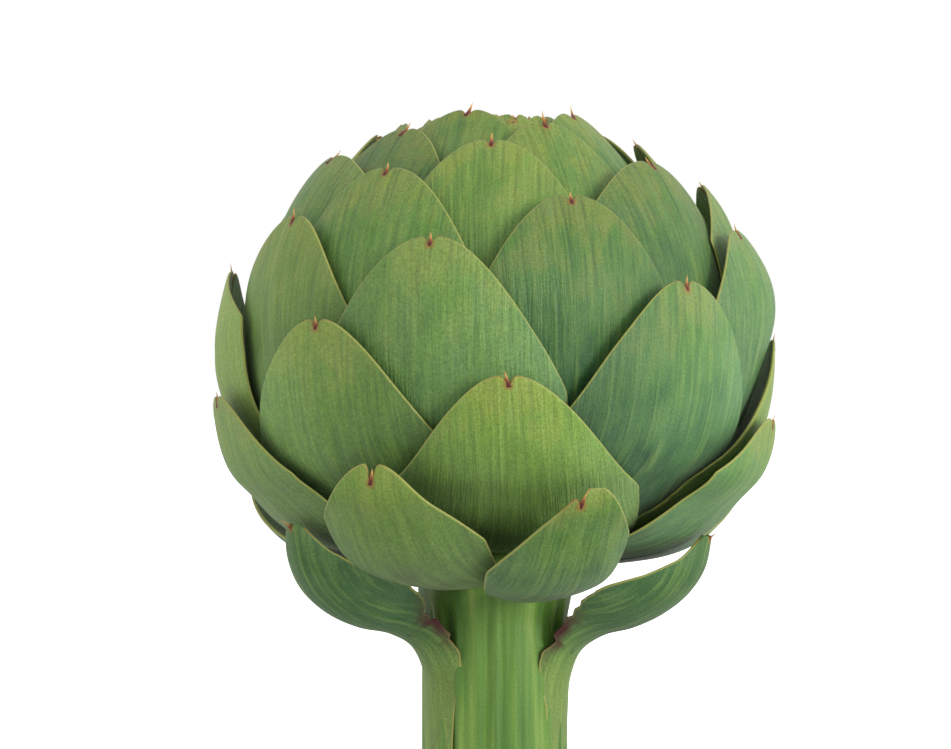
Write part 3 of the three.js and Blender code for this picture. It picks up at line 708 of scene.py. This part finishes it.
turn, height, radius = stemSurface()
heading = np.radians(turn)
skin = np.stack([radius * np.sin(heading), -radius * np.cos(heading), height], -1)
neck = np.stack([stem["heart"] * np.sin(heading[0]), -stem["heart"] * np.cos(heading[0]),
                 np.full(stem["columns"], stem["top"])], -1)
rounded = 1 - stem["chamfer"] / stem["radius"]
foot = skin[0] * [rounded, rounded, 1]
skin[0, :, 2] = stem["chamfer"]
cutRings = [foot * [share, share, 1] for share in stem["cutRings"]]
grid = np.concatenate([np.stack(cutRings), skin, neck[None]])
rows, columns = grid.shape[:2]
points = np.concatenate([grid.reshape(-1, 3), [[0, 0, 0], [0, 0, stem["top"] + 2]]])
around = np.arange(columns)
first = np.stack([(around + 1) % columns, around, np.full(columns, len(points) - 2)], -1)
last = (rows - 1) * columns
final = np.stack([last + around, last + (around + 1) % columns, np.full(columns, len(points) - 1)], -1)
arc = np.radians(turn[0]) * stem["radius"]
place = np.zeros((len(points), 3))
place[:-2, 0] = np.tile(arc, rows)
place[:-2, 1] = grid[:, :, 2].ravel()
kind = np.zeros((len(points), 3))
pithEnd = stem["pithRings"] * columns
kind[:pithEnd, 1] = 1
kind[pithEnd: len(cutRings) * columns, 1] = stem["rindShare"]
kind[-2, 1] = 1
addPiece("stalk", points, gridQuads(rows, columns, closed=True), np.concatenate([first, final]),
         {"bladePlace": place, "bladeKind": kind}, stemSkin, "stem")
print("stem made")

# ---- Two leaves on the stem ----

# Each leaf starts as a flat band grown onto the stem, leaves it, and opens into a boat with a torn edge.
leafForm = {
    "columns": 49, "rows": 150, "columnGathering": 1.4,
    "thickness": 1.3, "edgeThickness": 0.5, "edgeRound": 0.5,
    "lengths": (0, 14, 21, 27, 34, 44, 56, 68, 76, 81, 84),  # along the keel, for the two rows below
    "halfWidths": (4.6, 5.2, 5.8, 6.8, 8.4, 10.8, 12.6, 10.8, 7.6, 4.8, 2.6),
    "rises": (0.9, 1.1, 1.7, 3.2, 5.0, 7.2, 8.0, 6.0, 3.8, 2.0, 1.2),
    "rollReach": (24, 45), "tipRound": 1.6, "tipLength": 6,
    "notchLength": 3, "notchWidth": 0.8, "notchShare": 0.9,
    # the tear: its place and reach on the scale of lengths, its depth as a share of the half width, its teeth
    "tearPlace": 38, "tearReach": 5.5, "tearDepth": 0.2, "tearFrom": 0.3,
    "coarseTooth": 6.9, "fineTooth": 1.7,
    # where across the leaf the torn edge is dark, and where along it the inner face is darkened as painted
    # shade between the leaf and the stem
    "tearStain": (0.74, 0.98), "innerShade": (18, 24, 36, 44),
    "band": (18, 38), "bandTone": 0.9,  # the band is as pale and yellow as the stem, and fades out along this
}
leaves = [
    {"name": "stemLeafLeft", "node": "stem_leaf_left", "azimuth": -56, "roll": 0.14, "salt": 3,
     "keel": [(14.3, 4), (14.5, 12), (14.9, 20), (15.9, 26.5), (18.6, 31), (24, 34), (31, 35.6), (37.5, 38.5),
              (42.8, 43), (46, 48.5), (47.6, 55)]},
    {"name": "stemLeafRight", "node": "stem_leaf_right", "azimuth": 66, "roll": -0.03, "salt": 8,
     "keel": [(14.3, 4), (14.5, 12), (14.9, 19), (15.8, 25), (18, 30), (23, 33.4), (29.5, 35.2), (35.5, 38),
              (40.6, 42), (44, 46.8), (45.6, 52.4)]},
]


def smoothThrough(x, knots, values):
    # a cubic through the values, with each knot's slope taken from its two neighbours
    knots, values = np.asarray(knots, float), np.asarray(values, float)
    slopes = np.gradient(values, knots)
    i = np.clip(np.searchsorted(knots, x) - 1, 0, len(knots) - 2)
    step = knots[i + 1] - knots[i]
    t = np.clip((x - knots[i]) / step, 0, 1)
    start = values[i] * (1 + 2 * t) * (1 - t) ** 2 + slopes[i] * step * t * (1 - t) ** 2
    return start + values[i + 1] * t * t * (3 - 2 * t) - slopes[i + 1] * step * t * t * (1 - t)


def leafParts(leaf):
    # u runs across and v along the keel; a point stands u * half width to the side of the keel and rise * u^2
    # inwards
    form = leafForm
    keel = np.array(leaf["keel"], float)
    knots = np.concatenate([[0], np.cumsum(np.hypot(*np.diff(keel, axis=0).T))])
    length = knots[-1]
    s = np.linspace(0, length, form["rows"])
    radius, height = smoothThrough(s, knots, keel[:, 0]), smoothThrough(s, knots, keel[:, 1])
    forwardR, forwardZ = np.gradient(radius, s), np.gradient(height, s)
    size = np.hypot(forwardR, forwardZ)
    inR, inZ = -forwardZ / size, forwardR / size  # towards the stem on the band, upwards on the free leaf
    scaled = s * form["lengths"][-1] / length
    half = smoothThrough(scaled, form["lengths"], form["halfWidths"])[:, None]
    rise = smoothThrough(scaled, form["lengths"], form["rises"])[:, None]
    u = np.linspace(-1, 1, form["columns"])[None, :]
    u = np.sign(u) * (1 - (1 - np.abs(u)) ** form["columnGathering"])

    # The edge is torn into teeth where the leaf parts from the stem.
    s = s[:, None]
    torn = np.exp(-(((scaled[:, None] - form["tearPlace"]) / form["tearReach"]) ** 2))
    coarse = (s / form["coarseTooth"] + 0.2 * jitter(leaf["salt"], 1)) % 1
    fine = (s / form["fineTooth"] + np.sin(s / 3)) % 1
    teeth = 0.8 * np.abs(coarse - 0.3) / 0.7 + 0.35 * np.abs(fine - 0.5) * 2
    limit = 1 - form["tearDepth"] * torn * (0.35 + 1.3 * teeth) * (np.abs(u) > form["tearFrom"])
    notch = smoothStep(s, length - form["notchLength"], length)
    notch = notch * np.exp(-((u * half / form["notchWidth"]) ** 2))
    endRound = form["tipRound"] * (1 - u * u) * smoothStep(s, length - form["tipLength"], length)
    across = u * limit * half
    inward = rise * (u * limit) ** 2 + leaf["roll"] * across * smoothStep(s, *form["rollReach"])
    forward = endRound * (1 - form["notchShare"] * notch)

    thick = form["edgeThickness"] + (form["thickness"] - form["edgeThickness"]) * (1 - u * u)
    near = np.clip((1 - np.abs(u)) * half / form["edgeRound"], 0, 1)
    thick = thick * np.sqrt(np.maximum(0.04, 1 - (1 - near) ** 2))
    thick = thick * smoothStep(s, -1, 2.5) + 0.02  # it thins out at the foot, where it is one with the stem

    def placed(depth):
        r = radius[:, None] + inR[:, None] * (inward + depth) + forwardR[:, None] * forward
        z = height[:, None] + inZ[:, None] * (inward + depth) + forwardZ[:, None] * forward
        sine, cosine = math.sin(math.radians(leaf["azimuth"])), math.cos(math.radians(leaf["azimuth"]))
        return np.stack([r * sine + across * cosine, -r * cosine + across * sine, z], -1)

    outer, inner = placed(0), placed(thick)
    level = 0 * u + 0 * s
    share = 0.35 + 0.55 * s / length + level
    place = np.stack([across + 40 * leaf["salt"], s + level, level + leaf["salt"]], -1)
    field = np.stack([share, (1 - np.abs(u)) * half + level, np.hypot(across, s - length)], -1)
    side = np.abs(u) + level
    kinds = [np.stack([level, level + inside, side], -1) for inside in (0, 1)]
    tear = torn * smoothStep(np.abs(u) + 0.12 * teeth, *form["tearStain"])
    # painted shade: the inner face gets the torn colour where the leaf parts from the stem
    rising, full, falling, gone = form["innerShade"]
    stain = smoothStep(s, rising, full) * (1 - smoothStep(s, falling, gone))
    tearAndInnerShade = np.clip(tear + stain + level, 0, 1)
    tears = [np.stack([value, level, level], -1) for value in (tear, tearAndInnerShade)]
    middle = form["columns"] // 2
    up = outer[-1, middle] - outer[-4, middle]
    out = outer[-4, middle] - inner[-4, middle]
    thornNumber = 60 + leaf["salt"]
    points, quads, triangles, attributes = thorned(outer, inner, place, field, kinds, up, out, thornNumber)
    cone = np.zeros((len(points) - 2 * tear.size, 3))
    band = form["bandTone"] * (1 - smoothStep(s, *form["band"])) + level
    tone = np.stack([band, band, level], -1).reshape(-1, 3)
    attributes["bladeTone"] = np.concatenate([tone, tone, cone])
    attributes["bladeTearAndShade"] = np.concatenate([tears[0].reshape(-1, 3), tears[1].reshape(-1, 3), cone])
    return points, quads, triangles, attributes


for leaf in leaves:
    points, quads, triangles, attributes = leafParts(leaf)
    addPiece(leaf["name"], points, quads, triangles, attributes, leafSkin, leaf["node"])
print("stem leaves made")

# ---- Light, floor and backdrop ----

light = {
    "backdrop": 1.0, "floor": "#f4f4f2", "floorGlow": 0.85, "floorHalf": 6.0,  # half the floor, in metres
    # the fill, from its weakest to its brightest side, and what is added straight from the left and the right
    "fillLow": 0.38, "fillHigh": 0.78, "fillFrom": (0.1, -0.1, 0.8), "fillSides": 0.42,
    "keyWatts": 6.5, "keySize": 0.4, "keyPlace": (0.85, -0.8, 0.35),  # sizes in metres
}

# The world shows as a white backdrop, and lights the object as a soft fill, brightest above and at the sides.
world = bpy.data.worlds.new("studio")
world.use_nodes = True
world.node_tree.nodes.clear()
skyTree = world.node_tree
heading = addNode(skyTree, "ShaderNodeTexCoord").outputs["Generated"]
facing = addNode(skyTree, "ShaderNodeVectorMath", {0: heading, 1: light["fillFrom"]}, operation="DOT_PRODUCT")
reach = light["fillFrom"][2]
fill = addNode(skyTree, "ShaderNodeMapRange", {
    "Value": facing.outputs["Value"], "From Min": -reach, "From Max": reach,
    "To Min": light["fillLow"], "To Max": light["fillHigh"]})
sideways = addNode(skyTree, "ShaderNodeSeparateXYZ", {"Vector": heading}).outputs[0]
aside = addNode(skyTree, "ShaderNodeMath", {0: sideways, 1: sideways}, operation="MULTIPLY")
sided = addNode(skyTree, "ShaderNodeMath", {0: aside.outputs[0], 1: light["fillSides"], 2: fill.outputs[0]},
                operation="MULTIPLY_ADD")
seen = addNode(skyTree, "ShaderNodeLightPath").outputs["Is Camera Ray"]
strength = addNode(skyTree, "ShaderNodeMix", {"Factor": seen, 2: sided.outputs[0], 3: light["backdrop"]})
background = addNode(skyTree, "ShaderNodeBackground", {
    "Color": (1, 1, 1, 1), "Strength": strength.outputs[0]})
addNode(skyTree, "ShaderNodeOutputWorld", {"Surface": background.outputs[0]})
bpy.context.scene.world = world

keyData = bpy.data.lights.new("keyLight", "AREA")
keyData.energy, keyData.size = light["keyWatts"], light["keySize"]
key = bpy.data.objects.new("keyLight", keyData)
key.location = light["keyPlace"]
aim = np.array([0, 0, head["middle"] * mm]) - np.array(light["keyPlace"])
tilt, turn = math.atan2(math.hypot(aim[0], aim[1]), -aim[2]), math.atan2(aim[1], aim[0])
key.rotation_euler = (tilt, 0, turn - math.pi / 2)
bpy.context.scene.collection.objects.link(key)

floorMesh = bpy.data.meshes.new("floor")
half = light["floorHalf"]
corners = [(-half, -half, 0), (half, -half, 0), (half, half, 0), (-half, half, 0)]
floorMesh.from_pydata(corners, [], [(0, 1, 2, 3)])
floorMaterial, tree = newMaterial("paleStudioFloor")
paint = addNode(tree, "ShaderNodeBsdfPrincipled", {"Base Color": linearOf(light["floor"]), "Roughness": 0.9,
                                                   "Emission Color": (1, 1, 1, 1),
                                                   "Emission Strength": light["floorGlow"]})
addNode(tree, "ShaderNodeOutputMaterial", {"Surface": paint.outputs[0]})
floorMesh.materials.append(floorMaterial)
floor = bpy.data.objects.new("floor", floorMesh)
bpy.context.scene.collection.objects.link(floor)
floor.visible_diffuse = False  # it throws no light back up, so that the undersides stay deep green
floor.visible_glossy = False
bpy.context.scene.view_settings.view_transform = "Standard"
print("light and floor made")
